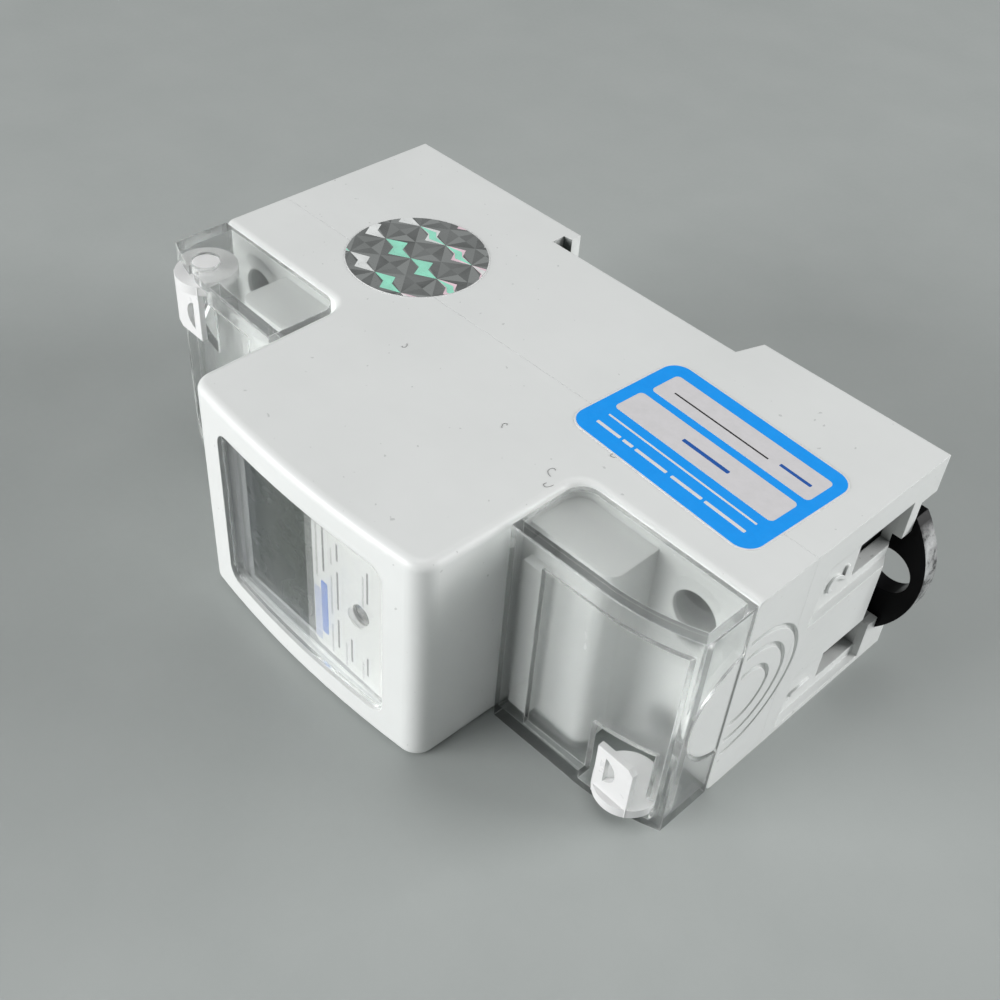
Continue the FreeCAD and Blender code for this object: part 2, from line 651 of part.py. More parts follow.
def display_holder():
    body = new_body("display_holder")
    sk = sketch_on(body, "holder_outline", "XZ_Plane", "-front_in")
    rectangle(sk, "-holder_half", "holder_half", "holder_low", "case_wide - holder_low")
    pad(body, "holder_block", sk, "holder_deep", back=True)
    sk = sketch_on(body, "holder_face_outline", "XZ_Plane", "-(front_in - 0.5)")
    rectangle(sk, "-window_half", "window_half", "window_low", "case_wide - window_low")
    pocket(body, "holder_face", sk, "panel_sunk + 0.5")
    sk = sketch_on(body, "lcd_seat_outline", "XZ_Plane", "-(front_in - 0.5)")
    rectangle(sk, "-lcd_left", "lcd_right", "lcd_low", "case_wide - lcd_low")
    pocket(body, "lcd_seat", sk, "panel_sunk + lcd_thick + 0.5")
    sk = sketch_on(body, "lamp_hole_outline", "XZ_Plane", "-(front_in - 0.5)")
    circle(sk, "lamp_x", "lamp_z", "lamp_r + 0.1")
    pocket(body, "lamp_hole", sk, "holder_deep + 1")
    return body


def name_plate():
    body = new_body("name_plate")
    sk = sketch_on(body, "plate_outline", "XZ_Plane", "-(panel_y - plate_thick)")
    rounded(sk, "(lcd_right + 0.1)", "(window_half - 0.1)", "(window_low + 0.1)",
            "(case_wide - window_low - 0.1)", "1")
    circle(sk, "lamp_x", "lamp_z", "lamp_r + 0.1")
    pad(body, "plate_block", sk, "plate_thick", back=True)
    return body


def pulse_lamp():
    barrel = rod("lamp_barrel", ("lamp_x", "panel_y", "lamp_z"), "lamp_r", "holder_back - panel_y")
    dome = doc.addObject("Part::Sphere", "lamp_dome")
    bind(dome, "Radius", "lamp_r")
    for axis, rule in zip("xyz", ("lamp_x", "panel_y + 0.9", "lamp_z")):
        bind(dome, "Placement.Base." + axis, rule)
    return settle(join("pulse_lamp", [barrel, dome]), "pulse_lamp")


def boards():
    moved_box("display_board", ("-holder_half", "holder_back", "holder_low"),
              ("2 * holder_half", "board_thick", "case_wide - 2 * holder_low"))
    body = new_body("main_board")
    sk = sketch_on(body, "board_outline", "XY_Plane", "mid_z - board_thick / 2")
    outline(sk, [
        ("-board_neck", "board_tip"), ("board_neck", "board_tip"), ("board_neck", "board_step"),
        ("cavity_half", "board_step + board_flare"), ("cavity_half", "cavity_y"),
        ("-cavity_half", "cavity_y"), ("-cavity_half", "board_step + board_flare"),
        ("-board_neck", "board_step"),
    ])
    pad(body, "board_block", sk, "board_thick")
    moved_box("board_header", ("-header_long / 2", "holder_back + board_thick", "board_top"),
              ("header_long", "header_wide", "header_high"))
    moved_box("meter_chip", ("-chip_long / 2", "shoulder_y - chip_ahead", "board_top"),
              ("chip_long", "chip_wide", "chip_high"))
    moved_box("supply_capacitor", ("-cavity_half + part_edge", "seam_y + part_in", "board_top"),
              ("supply_long", "supply_wide", "supply_high"))
    foot = ("can_x + shift_x", "can_y + shift_y", "board_top")
    rod("smoothing_capacitor", foot, "can_r", "can_high", along_y=False)


# Current path: bars, shunt, clamp cages and terminal screws


def current_path():
    live = ROWS["live"] + " - bar_wide / 2"
    neutral = ROWS["neutral"] + " - bar_wide / 2"
    size = ("bar_end - shunt_half", "bar_thick", "bar_wide")
    moved_box("live_bar_lower", ("shunt_half", "bar_y", live), size)
    moved_box("live_bar_upper", ("-bar_end", "bar_y", live), size)
    moved_box("shunt_plate", ("-shunt_half", "bar_y + 0.2", live),
              ("2 * shunt_half", "bar_thick - 0.4", "bar_wide"))
    moved_box("neutral_bar", ("-bar_end", "bar_y", neutral), ("2 * bar_end", "bar_thick", "bar_wide"))
    for end, side in ENDS.items():
        for row, height in ROWS.items():
            clamp_cage("clamp_cage_%s_%s" % (row, end), side, height)
            terminal_screw("terminal_screw_%s_%s" % (row, end), side, height)


def clamp_cage(label, side, height):
    body = new_body(label)
    first = "screw_x - cage_long / 2" if side > 0 else "-screw_x - cage_long / 2"
    sk = sketch_on(body, label + "_outline", "YZ_Plane", first)
    rectangle(sk, "cage_y", "cage_y + cage_top + cage_room + cage_floor",
              height + " - cage_wide / 2", height + " + cage_wide / 2")
    rectangle(sk, "cage_y + cage_top", "cage_y + cage_top + cage_room",
              height + " - cage_wide / 2 + cage_side", height + " + cage_wide / 2 - cage_side")
    pad(body, label + "_frame", sk, "cage_long")
    sk = sketch_on(body, label + "_thread_outline", "XZ_Plane", "-(cage_y - 0.5)")
    circle(sk, flip(side, "screw_x"), height, "thread_r + thread_play")
    pocket(body, label + "_thread", sk, "cage_top + 1")
    return body


def terminal_screw(label, side, height):
    across = flip(side, "screw_x")
    shank = rod(label + "_shank", (across, "head_y + head_high - 0.5", height), "thread_r",
                "tip_y - head_y - head_high + 0.5")
    head = rod(label + "_head", (across, "head_y", height), "head_r", "head_high")
    solid = join(label + "_solid", [head, shank])
    slot = box(label + "_slot", (across + " - head_r - 1", "head_y - 1", height + " - slot_wide / 2"),
               ("2 * head_r + 2", "slot_deep + 1", "slot_wide"))
    return settle(subtract(label, solid, slot), label)


# Clear terminal covers and their seal knobs, the upper pair turned half round


def cover_front(across, depth, start, stop):
    fall = "cover_y + %s" % depth
    return [
        (across(start), fall), (across("cover_bend"), fall + " + cover_slant"),
        (across(stop), fall + " + cover_drop"),
    ]


def terminal_cover(end, side):
    def across(rule):
        return flip(side, rule)
    body = new_body("terminal_cover_" + end)
    start = "nose_half + cover_gap"
    sk = sketch_on(body, "cover_outline_" + end, "XY_Plane", "cover_side")
    outline(sk, cover_front(across, "0", start, "half_long") + [
        (across("half_long"), "cover_seat"), (across(start + " + cover_corner"), "cover_seat"),
        (across(start), "cover_seat - cover_corner"),
    ], {1: "cover_round", 4: "cover_corner"}, side)
    pad(body, "cover_block_" + end, sk, "case_wide - 2 * cover_side")
    sk = sketch_on(body, "cover_panel_outline_" + end, "XY_Plane", "case_wide - cover_side - cover_rail")
    panel = [start + " + cover_rim", "half_long - cover_end"]
    outline(sk, cover_front(across, "cover_sink", *panel) + [
        (across(panel[1]), "cover_y - 2"), (across(panel[0]), "cover_y - 2"),
    ], {1: "cover_round"}, side)
    pocket(body, "cover_panel_" + end, sk, "case_wide - 2 * cover_side - 2 * cover_rail")
    sk = sketch_on(body, "cover_room_outline_" + end, "XY_Plane", "case_wide - cover_side - cover_end")
    room = [start + " - 0.5", "half_long - cover_end"]
    outline(sk, cover_front(across, "cover_sink + cover_skin", *room) + [
        (across(room[1]), "cover_seat + 0.5"), (across(room[0]), "cover_seat + 0.5"),
    ], {1: "cover_round"}, side)
    pocket(body, "cover_room_" + end, sk, "case_wide - 2 * cover_side - 2 * cover_end")
    sk = sketch_on(body, "arch_outline_" + end, "YZ_Plane", flip(side, "half_long + 0.5"))
    circle(sk, "flap_y", "mid_z", "arch_r")
    pocket(body, "arch_" + end, sk, "cover_end + 1", back=side < 0)
    knob_niche(body, end, side)
    return body


def knob_niche(body, end, side):
    sk = sketch_on(body, "niche_outline_" + end, "XZ_Plane", "-(cover_y - 1)")
    floor = "cover_side + cover_end"
    disc_top = "knob_low + knob_thick + niche_gap"
    left = flip(side, "knob_x - niche_left")
    right = flip(side, "knob_x + niche_right")
    disc_right = flip(side, "knob_x + knob_r + niche_gap")
    outline(sk, [(across, turned(side, height)) for across, height in (
        (left, floor), (disc_right, floor), (disc_right, disc_top),
        (right, disc_top), (right, "niche_top"), (left, "niche_top"))])
    pocket(body, "niche_" + end, sk, "niche_deep + 1")
    sk = sketch_on(body, "rim_cut_outline_" + end, "XZ_Plane", "-(cover_y - 1)")
    rectangle(sk, flip(side, "knob_x - rim_cut_left"), flip(side, "knob_x + rim_cut_right"),
              turned(side, "-0.5"), turned(side, floor + " + 0.5"))
    pocket(body, "rim_cut_" + end, sk, "rim_cut_deep + 1")
    sk = sketch_on(body, "stem_hole_outline_" + end, "XY_Plane", turned(side, floor + " + 0.2"))
    circle(sk, flip(side, "knob_x"), "knob_y", "stem_r + thread_play")
    pocket(body, "stem_hole_" + end, sk, floor + " + 0.7", back=side < 0)


def seal_knob(end, side):
    body = new_body("seal_knob_" + end)
    middle = flip(side, "knob_x")
    sk = sketch_on(body, "knob_disc_outline_" + end, "XY_Plane", turned(side, "knob_low"))
    circle(sk, middle, "knob_y", "knob_r")
    pad(body, "knob_disc_" + end, sk, "knob_thick", back=side < 0)
    sk = sketch_on(body, "knob_stem_outline_" + end, "XY_Plane", turned(side, "stem_low"))
    circle(sk, middle, "knob_y", "stem_r")
    pad(body, "knob_stem_" + end, sk, "knob_low - stem_low + 0.2", back=side < 0)
    sk = sketch_on(body, "knob_fin_outline_" + end, "XZ_Plane", "-(knob_y - fin_out)")

    def place(across, height):
        return flip(side, "knob_x " + across), turned(side, height)
    outline(sk, [
        place("- fin_half", "knob_low"), place("+ fin_half", "knob_low"),
        place("+ fin_half", "fin_top - fin_slant"), place("+ fin_half - fin_slant", "fin_top"),
        place("- fin_half", "fin_top"),
    ])
    hole_middle = "(fin_top - fin_hole_low)"
    hole = [place("- fin_half + fin_hole_in", hole_middle + sign + "fin_hole_half")
            for sign in (" - ", " + ")]
    outline(sk, hole, {0: "fin_hole"})
    pad(body, "knob_fin_" + end, sk, "fin_thick", back=True)
    return body


# Rail latch and stickers


def rail_latch():
    body = new_body("rail_latch")
    sk = sketch_on(body, "slider_outline", "XZ_Plane", "-latch_y")
    rectangle(sk, "latch_tip", "latch_neck + 1", "mid_z - latch_half", "mid_z + latch_half")
    pad(body, "slider", sk, "latch_thick", back=True)
    round_edges(body, "tongue_bevel", tongue_edge, "latch_bevel", "PartDesign::Chamfer", "Size")
    sk = sketch_on(body, "tab_outline", "XZ_Plane", "-latch_y")
    outline(sk, [
        ("latch_neck", "tab_z - tab_half"), ("half_long", "tab_z - tab_half"),
        ("half_long", "tab_z + tab_half"), ("latch_neck", "tab_z + tab_half"),
    ], {1: "(tab_half ^ 2 + tab_out ^ 2) / (2 * tab_out)"})
    pad(body, "tab", sk, "tab_thick", back=True)
    sk = sketch_on(body, "tab_hole_outline", "XZ_Plane", "-(latch_y - 0.5)")
    circle(sk, "tab_hole_x", "tab_z", "tab_hole")
    pocket(body, "pull_hole", sk, "tab_thick + 1")
    return body


def tongue_edge(edge):
    limits = edge.BoundBox
    at_tip = abs(limits.XMin - number("latch_tip")) < 0.01 and limits.XLength < 1e-3
    behind = limits.YMin > number("latch_y + latch_thick") - 0.01
    return at_tip and behind and limits.ZLength > 1


def stickers():
    centre = ("-half_long + seal_in + shift_x", "seam_y + seal_behind + shift_y", "case_wide")
    sticker = rod("seal_film", centre, "seal_r", "film", along_y=False)
    sticker.Label = "round_sticker"
    body = doc.addObject("PartDesign::Body", "blue_label")
    body.Label = "blue_label"
    turn = FreeCAD.Rotation(FreeCAD.Vector(0, 0, 1), number("label_turn"))
    body.Placement = FreeCAD.Placement(FreeCAD.Vector(0, 0, 0), turn)
    bind(body, "Placement.Rotation.Angle", "label_turn")
    bind(body, "Placement.Base.x", "half_long - label_in + shift_x")
    bind(body, "Placement.Base.y", "seam_y + label_behind + shift_y")
    bind(body, "Placement.Base.z", "case_wide")
    sk = sketch_on(body, "label_outline", "XY_Plane", "0")
    rounded(sk, "-label_long / 2", "label_long / 2", "-label_wide / 2", "label_wide / 2", "label_round")
    pad(body, "label_film", sk, "film")


front_shell()
rear_shell()
pane()
display_holder()
moved_box("lcd_panel", ("-lcd_left + 0.1", "panel_y", "lcd_low + 0.1"),
          ("lcd_left + lcd_right - 0.2", "lcd_thick", "case_wide - 2 * lcd_low - 0.2"))
name_plate()
pulse_lamp()
boards()
current_path()
for end, side in ENDS.items():
    terminal_cover(end, side)
    seal_knob(end, side)
rail_latch()
stickers()
doc.recompute()

bad = [item.Name for item in doc.Objects if {"Invalid", "Error"} & set(item.State)]
if bad:
    raise RuntimeError("not rebuilt: " + ", ".join(bad))


def is_piece(item):
    solid_kind = item.TypeId == "PartDesign::Body" or item.TypeId.startswith("Part::")
    inside = any(parent.TypeId.startswith("Part::") for parent in item.InList)
    return solid_kind and not inside


os.makedirs("parts", exist_ok=True)
for piece in filter(is_piece, doc.Objects):
    shape = piece.Shape
    if shape.isNull() or not shape.isValid() or not shape.Solids:
        raise RuntimeError("no sound solid: " + piece.Label)
    shape.exportStep("parts/%s.step" % piece.Label)
    limits = shape.BoundBox
    reach = (limits.XMin, limits.XMax, limits.YMin, limits.YMax, limits.ZMin, limits.ZMax)
    print(piece.Label, len(shape.Solids), round(shape.Volume, 1), [round(v, 2) for v in reach])
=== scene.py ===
import math
import random

import bpy
from mathutils import Matrix, Vector


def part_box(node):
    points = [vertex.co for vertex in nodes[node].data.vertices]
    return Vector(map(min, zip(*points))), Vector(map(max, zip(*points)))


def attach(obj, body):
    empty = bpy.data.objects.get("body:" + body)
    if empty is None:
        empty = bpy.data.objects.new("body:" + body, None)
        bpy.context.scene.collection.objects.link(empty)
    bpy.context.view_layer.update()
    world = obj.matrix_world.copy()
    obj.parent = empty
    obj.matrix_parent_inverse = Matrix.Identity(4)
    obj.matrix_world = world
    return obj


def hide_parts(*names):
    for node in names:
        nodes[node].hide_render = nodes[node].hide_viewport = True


# Looks of the rail energy meter, which lies on its left side wall as in the photograph.
# Metres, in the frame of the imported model: X along the case, Y from the front to the rail, Z up.

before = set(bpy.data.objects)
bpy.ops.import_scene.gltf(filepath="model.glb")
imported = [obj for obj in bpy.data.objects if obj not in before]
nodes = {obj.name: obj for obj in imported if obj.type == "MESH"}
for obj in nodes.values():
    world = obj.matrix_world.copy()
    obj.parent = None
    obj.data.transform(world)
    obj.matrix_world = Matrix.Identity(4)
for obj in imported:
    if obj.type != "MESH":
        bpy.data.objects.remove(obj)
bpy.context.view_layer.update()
MM = 0.001

# Places taken from the frame
front_low, front_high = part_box("front_housing")
SEAM_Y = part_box("rear_housing")[0].y
END_X = front_high.x
CASE_X = (front_low.x + front_high.x) / 2
TOP_Z = front_high.z
MID_Z = TOP_Z / 2
COVER_RIM = 28.8  # raised edge beside the nose, from the middle of the case, in millimetres


# Node helpers


class Shader:
    """A material's node tree, with short calls for the nodes that the finishes share."""

    def __init__(self, name):
        self.material = bpy.data.materials.new(name)
        self.material.use_nodes = True
        self.tree = self.material.node_tree
        self.surface = self.tree.nodes["Principled BSDF"]
        self.output = self.tree.nodes["Material Output"]
        self.place = self.add("ShaderNodeTexCoord").outputs["Object"]

    def add(self, kind, inputs=None, **settings):
        node = self.tree.nodes.new(kind)
        for key, value in settings.items():
            setattr(node, key, value)
        for key, value in (inputs or {}).items():
            self.feed(node.inputs[key], value)
        return node

    def feed(self, socket, value):
        if isinstance(value, bpy.types.NodeSocket):
            self.tree.links.new(value, socket)
        else:
            socket.default_value = value

    def set(self, **values):
        for key, value in values.items():
            self.feed(self.surface.inputs[key.replace("_", " ")], value)

    def noise(self, scale, detail=3.0, rough=0.5, place=None):
        node = self.add("ShaderNodeTexNoise", {"Vector": place or self.place, "Scale": scale,
                                               "Detail": detail, "Roughness": rough})
        return node.outputs["Fac"]

    def stretch(self, x, y, z):
        node = self.add("ShaderNodeMapping", {"Vector": self.place, "Scale": (x, y, z)})
        return node.outputs["Vector"]

    def ramp(self, value, low, high, out_low=0.0, out_high=1.0):
        node = self.add("ShaderNodeMapRange", {"Value": value, "From Min": low, "From Max": high,
                                               "To Min": out_low, "To Max": out_high})
        return node.outputs["Result"]

    def math(self, kind, first, second=0.0, third=0.0):
        node = self.add("ShaderNodeMath", {0: first, 1: second, 2: third}, operation=kind)
        return node.outputs[0]

    def mix(self, share, first, second):
        node = self.add("ShaderNodeMix", data_type="RGBA")
        self.feed(node.inputs["Factor"], share)
        self.feed(node.inputs["A"], first)
        self.feed(node.inputs["B"], second)
        return node.outputs["Result"]

    def bump(self, height, strength, distance, edge=0.0):
        node = self.add("ShaderNodeBump", {"Height": height, "Strength": strength, "Distance": distance})
        if edge:
            soft = self.add("ShaderNodeBevel", {"Radius": edge * MM}, samples=6)
            self.feed(node.inputs["Normal"], soft.outputs["Normal"])
        self.feed(self.surface.inputs["Normal"], node.outputs["Normal"])

    def axis(self, letter):
        split = self.add("ShaderNodeSeparateXYZ", {"Vector": self.place})
        return split.outputs[letter]

    def lamp_rays_pass(self, tint, haze):
        """Lets the lamps shine through clear plastic, and a share of every ray go straight through."""
        clear = self.add("ShaderNodeBsdfTransparent", {"Color": tint}).outputs[0]
        straight = self.add("ShaderNodeBsdfTransparent", {"Color": (0.96, 0.97, 0.97, 1)}).outputs[0]
        plastic = self.surface.outputs[0]
        seen = self.add("ShaderNodeMixShader", {0: haze, 1: plastic, 2: straight}).outputs[0]
        path = self.add("ShaderNodeLightPath")
        both = self.add("ShaderNodeMixShader", {0: path.outputs["Is Shadow Ray"], 1: seen, 2: clear})
        self.tree.links.new(both.outputs[0], self.output.inputs["Surface"])


def grey(value, blue=0.0):
    return (value, value + blue * 0.5, value + blue, 1.0)


# Finishes


def moulded_plastic(name, colour, darker, rough, grain, edge=0.12):
    """Spark-eroded moulding: fine grain, faint clouds of tone and rubbed spots."""
    s = Shader(name)
    clouds = s.ramp(s.noise(60, 4, 0.6), 0.35, 0.7)
    s.set(Base_Color=s.mix(clouds, colour, darker))
    rubbed = s.noise(350, 3, 0.6)
    s.set(Roughness=s.ramp(rubbed, 0.3, 0.7, rough - 0.05, rough + 0.07))
    s.bump(s.noise(grain, 2, 0.5), 0.10, 0.00003, edge)
    return s.material


def case_finish():
    """Pale moulding with faint clouds and specks, and painted shade deep inside its wells and entries."""
    hole_reach = 6 * MM
    pale_skin = 1.15 * MM  # the painted shade leaves end walls and trays pale this far in
    pale_front = 10.6 * MM  # and so does everything this far before the seam
    s = Shader("case_plastic")
    clouds = s.ramp(s.noise(45, 4, 0.6), 0.35, 0.7)
    tone = s.mix(clouds, (0.77, 0.785, 0.775, 1), (0.735, 0.75, 0.74, 1))
    speck = s.ramp(s.noise(1100, 1, 0.4), 0.775, 0.79)
    tone = s.mix(s.math("MULTIPLY", speck, 0.4), tone, (0.34, 0.35, 0.34, 1))
    # Painted shade: the colour darkens where ambient occlusion finds a recess closed in.
    openness = s.add("ShaderNodeAmbientOcclusion", {"Distance": hole_reach}, samples=8, only_local=True)
    from_middle = s.math("ABSOLUTE", s.math("SUBTRACT", s.axis("X"), CASE_X))
    within = s.math("LESS_THAN", from_middle, END_X - CASE_X - pale_skin)
    within = s.math("MULTIPLY", within, s.math("GREATER_THAN", s.axis("Y"), SEAM_Y - pale_front))
    painted_recess_shade = s.math("MULTIPLY", within, s.ramp(openness.outputs["AO"], 0.38, 0.86, 1.0, 0.0))
    s.set(Base_Color=s.mix(painted_recess_shade, tone, (0.035, 0.045, 0.042, 1)))
    streaks = s.noise(1.0, 3, 0.6, s.stretch(90, 900, 900))
    s.set(Roughness=s.ramp(streaks, 0.35, 0.7, 0.34, 0.46))
    s.bump(s.noise(5200, 2, 0.5), 0.10, 0.00003, 0.2)
    return s.material


def clear_pane_finish():
    s = Shader("clear_pane")
    s.set(Base_Color=(0.98, 0.99, 0.99, 1), Transmission_Weight=1.0, IOR=1.45, Specular_IOR_Level=0.12)
    s.set(Roughness=s.ramp(s.noise(700, 3, 0.6), 0.45, 0.8, 0.0, 0.04))
    s.bump(s.noise(120, 2, 0.5), 0.03, 0.00002, 0.15)
    s.lamp_rays_pass((0.96, 0.97, 0.97, 1), 0.25)
    return s.material


def cover_finish(name, low, high, rim):
    """Clear moulding: polished outside and beside the nose, frosted in its room, with painted highlights
    along its rounded edges.
    """
    s = Shader(name)
    s.set(Base_Color=(0.865, 0.87, 0.865, 1), IOR=1.50, Specular_IOR_Level=0.5)
    inset = 1.35 * MM  # polished outside of the walls
    front_wall = 1.6 * MM
    side_wall = 16.0 * MM  # from the middle of the height
    across = (rim, high.x - inset) if rim > CASE_X else (low.x + inset, rim)
    height = s.axis("Z")
    inside = s.math("GREATER_THAN", s.axis("Y"), low.y + front_wall)
    for along, least, most in ((s.axis("X"), *across), (height, low.z + inset, high.z - inset)):
        inside = s.math("MULTIPLY", inside, s.math("GREATER_THAN", along, least))
        inside = s.math("MULTIPLY", inside, s.math("LESS_THAN", along, most))
    off_middle = s.math("ABSOLUTE", s.math("SUBTRACT", height, MID_Z))
    plate = s.ramp(off_middle, side_wall, side_wall + 0.2 * MM, 1.0, 0.35)
    cloud = s.ramp(s.noise(1.0, 3, 0.6, s.stretch(260, 260, 60)), 0.3, 0.75, 0.20, 0.28)
    polish = s.ramp(s.noise(500, 3, 0.6), 0.45, 0.8, 0.02, 0.06)
    frost = s.math("MULTIPLY", s.math("MULTIPLY", inside, cloud), plate)
    s.set(Roughness=s.math("MAXIMUM", frost, polish))
    soft = s.add("ShaderNodeBevel", {"Radius": 0.22 * MM}, samples=4).outputs["Normal"]
    flat = s.add("ShaderNodeNewGeometry").outputs["Normal"]
    # Painted highlight: along rounded edges the clear plastic turns partly pale and diffuse.
    turn = s.add("ShaderNodeVectorMath", {0: soft, 1: flat}, operation="DOT_PRODUCT").outputs["Value"]
    edge_wear_and_highlight = s.math("MULTIPLY", s.ramp(turn, 0.90, 0.998, 1.0, 0.0),
                  s.ramp(s.noise(900, 2, 0.6), 0.3, 0.7, 0.25, 0.75))
    s.set(Transmission_Weight=s.math("SUBTRACT", 1.0, edge_wear_and_highlight))
    s.bump(s.noise(90, 2, 0.5), 0.04, 0.00003, 0.18)
    s.lamp_rays_pass((0.62, 0.63, 0.625, 1), 0.12)
    return s.material


def latch_finish():
    """Black slider, rubbed pale and shiny along its round rim."""
    rub_start, rub_full = 0.8 * MM, 2.4 * MM  # past the end wall
    s = Shader("latch_plastic")
    past = s.ramp(s.axis("X"), END_X + rub_start, END_X + rub_full)
    edge_wear_and_highlight = s.math("MULTIPLY", past, s.ramp(s.noise(520, 4, 0.7), 0.36, 0.60, 0.12, 1.0))
    facing = s.add("ShaderNodeNewGeometry").outputs["Normal"]
    split = s.add("ShaderNodeSeparateXYZ", {"Vector": facing})
    edge = s.ramp(s.math("ABSOLUTE", split.outputs["Y"]), 0.2, 0.75, 1.0, 0.0)
    edge_wear_and_highlight = s.math("MULTIPLY", edge_wear_and_highlight, edge)
    s.set(Base_Color=s.mix(edge_wear_and_highlight, (0.002, 0.002, 0.0025, 1), (0.48, 0.49, 0.49, 1)))
    s.set(Roughness=s.ramp(edge_wear_and_highlight, 0.0, 1.0, 0.40, 0.24),
          Specular_IOR_Level=s.ramp(edge_wear_and_highlight, 0.0, 1.0, 0.08, 0.7))
    s.bump(s.noise(2600, 3, 0.6), 0.22, 0.00004, 0.2)
    return s.material


def metal(name, colour, dark, rough, scale, metallic=1.0):
    s = Shader(name)
    s.set(Base_Color=s.mix(s.ramp(s.noise(scale, 4, 0.6), 0.3, 0.7), colour, dark), Metallic=metallic)
    s.set(Roughness=s.ramp(s.noise(scale * 3, 3, 0.6), 0.3, 0.7, rough - 0.06, rough + 0.1))
    s.bump(s.noise(1.0, 2, 0.5, s.stretch(900, 6000, 900)), 0.15, 0.00003)
    return s.material


def display_glass():
    """Blank liquid-crystal panel: dark, faintly green, with dust."""
    s = Shader("lcd_glass")
    low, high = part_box("lcd_panel")
    dark_edge, dark_foot = 6 * MM, 9 * MM
    edge = s.ramp(s.axis("X"), low.x, low.x + dark_edge)
    foot = s.ramp(s.axis("Z"), low.z, low.z + dark_foot)
    tone = s.mix(edge, (0.007, 0.011, 0.014, 1), (0.031, 0.036, 0.031, 1))
    tone = s.mix(foot, (0.010, 0.014, 0.012, 1), tone)
    dust = s.ramp(s.noise(1500, 2, 0.6), 0.72, 0.78)
    s.set(Base_Color=s.mix(s.math("MULTIPLY", dust, 0.3), tone, (0.3, 0.31, 0.3, 1)))
    s.set(Roughness=s.ramp(s.noise(260, 3, 0.5), 0.3, 0.7, 0.22, 0.34), Specular_IOR_Level=0.25)
    return s.material


def print_finish(name, colour, darker, rough=0.38):
    s = Shader(name)
    s.set(Base_Color=s.mix(s.ramp(s.noise(900, 3, 0.6), 0.35, 0.7), colour, darker))
    s.set(Roughness=s.ramp(s.noise(500, 2, 0.5), 0.3, 0.7, rough - 0.05, rough + 0.06))
    s.bump(s.noise(2500, 2, 0.5), 0.08, 0.00002)
    return s.material


def foil_finish():
    """Embossed foil: each facet carries its own tone of painted reflection, glints included."""
    s = Shader("silver_film")
    tone = s.add("ShaderNodeAttribute", attribute_name="facet_painted_reflection_tone").outputs["Color"]
    shade = s.ramp(s.noise(300, 2, 0.5), 0.35, 0.65, 0.0, 0.3)
    s.set(Base_Color=s.mix(shade, tone, (0.24, 0.25, 0.25, 1)))
    s.set(Roughness=s.ramp(s.noise(1800, 2, 0.5), 0.3, 0.7, 0.24, 0.36))
    s.bump(s.noise(7000, 1, 0.5), 0.1, 0.00001)
    return s.material


CASE = case_finish()
SEAL = moulded_plastic("seal_plastic", grey(0.80), grey(0.74), 0.30, 4000)
HOLDER = moulded_plastic("holder_plastic", grey(0.36, 0.01), grey(0.30), 0.42, 3000)
BOARD = moulded_plastic("circuit_board", (0.02, 0.12, 0.05, 1), (0.03, 0.16, 0.07, 1), 0.35, 1800)
BLACK = moulded_plastic("black_plastic", grey(0.02), grey(0.03), 0.45, 2500)
YELLOW = moulded_plastic("yellow_plastic", (0.62, 0.42, 0.05, 1), (0.5, 0.34, 0.05, 1), 0.4, 2500)
LAMP = moulded_plastic("lamp_lens", grey(0.035), grey(0.05), 0.18, 1500)
CAGE = metal("cage_steel", (0.13, 0.135, 0.13, 1), (0.08, 0.085, 0.08, 1), 0.42, 500)
STEEL = metal("screw_steel", (0.10, 0.11, 0.105, 1), (0.045, 0.055, 0.05, 1), 0.40, 700)
COPPER = metal("tinned_copper", (0.66, 0.64, 0.60, 1), (0.5, 0.48, 0.44, 1), 0.3, 400)
ALLOY = metal("shunt_alloy", (0.55, 0.42, 0.32, 1), (0.42, 0.33, 0.26, 1), 0.34, 400)
CAN = metal("can_metal", (0.10, 0.12, 0.16, 1), (0.07, 0.08, 0.12, 1), 0.3, 300, 0.2)
PAPER = print_finish("label_paper", (0.80, 0.80, 0.80, 1), (0.74, 0.74, 0.74, 1))
PANEL = print_finish("label_panel", (0.70, 0.685, 0.70, 1), (0.66, 0.65, 0.66, 1))
BLUE = print_finish("blue_paper", (0.0, 0.34, 0.98, 1), (0.0, 0.32, 0.94, 1), 0.42)
DEEP_BLUE = print_finish("blue_ink", (0.01, 0.10, 0.42, 1), (0.01, 0.09, 0.36, 1), 0.4)
BLACK_INK = print_finish("black_ink", grey(0.015), grey(0.025), 0.4)
PLATE = print_finish("plate_print", (0.52, 0.52, 0.505, 1), (0.485, 0.485, 0.47, 1), 0.36)
FOIL = foil_finish()
PANE = clear_pane_finish()


def dress(node, material):
    mesh = nodes[node].data
    mesh.materials.clear()
    mesh.materials.append(material)


def dress_nodes():
    plain = {
        "front_housing": CASE, "rear_housing": CASE, "display_window": PANE, "display_holder": HOLDER,
        "lcd_panel": display_glass(), "name_plate": PLATE, "pulse_lamp": LAMP, "display_board": BOARD,
        "main_board": BOARD, "board_header": BLACK, "meter_chip": BLACK, "supply_capacitor": YELLOW,
        "smoothing_capacitor": CAN, "live_bar_lower": COPPER, "live_bar_upper": COPPER,
        "shunt_plate": ALLOY, "neutral_bar": COPPER, "rail_latch": latch_finish(),
        "seal_knob_lower": SEAL, "seal_knob_upper": SEAL,
    }
    for node, material in plain.items():
        dress(node, material)
    for row in ("live", "neutral"):
        for end in ("lower", "upper"):
            dress("clamp_cage_%s_%s" % (row, end), CAGE)
            dress("terminal_screw_%s_%s" % (row, end), STEEL)
    for end, side in (("lower", 1), ("upper", -1)):
        node = "terminal_cover_" + end
        rim = CASE_X + side * COVER_RIM * MM
        dress(node, cover_finish("clear_cover_" + end, *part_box(node), rim))


dress_nodes()


# Flat pieces such as labels and their print


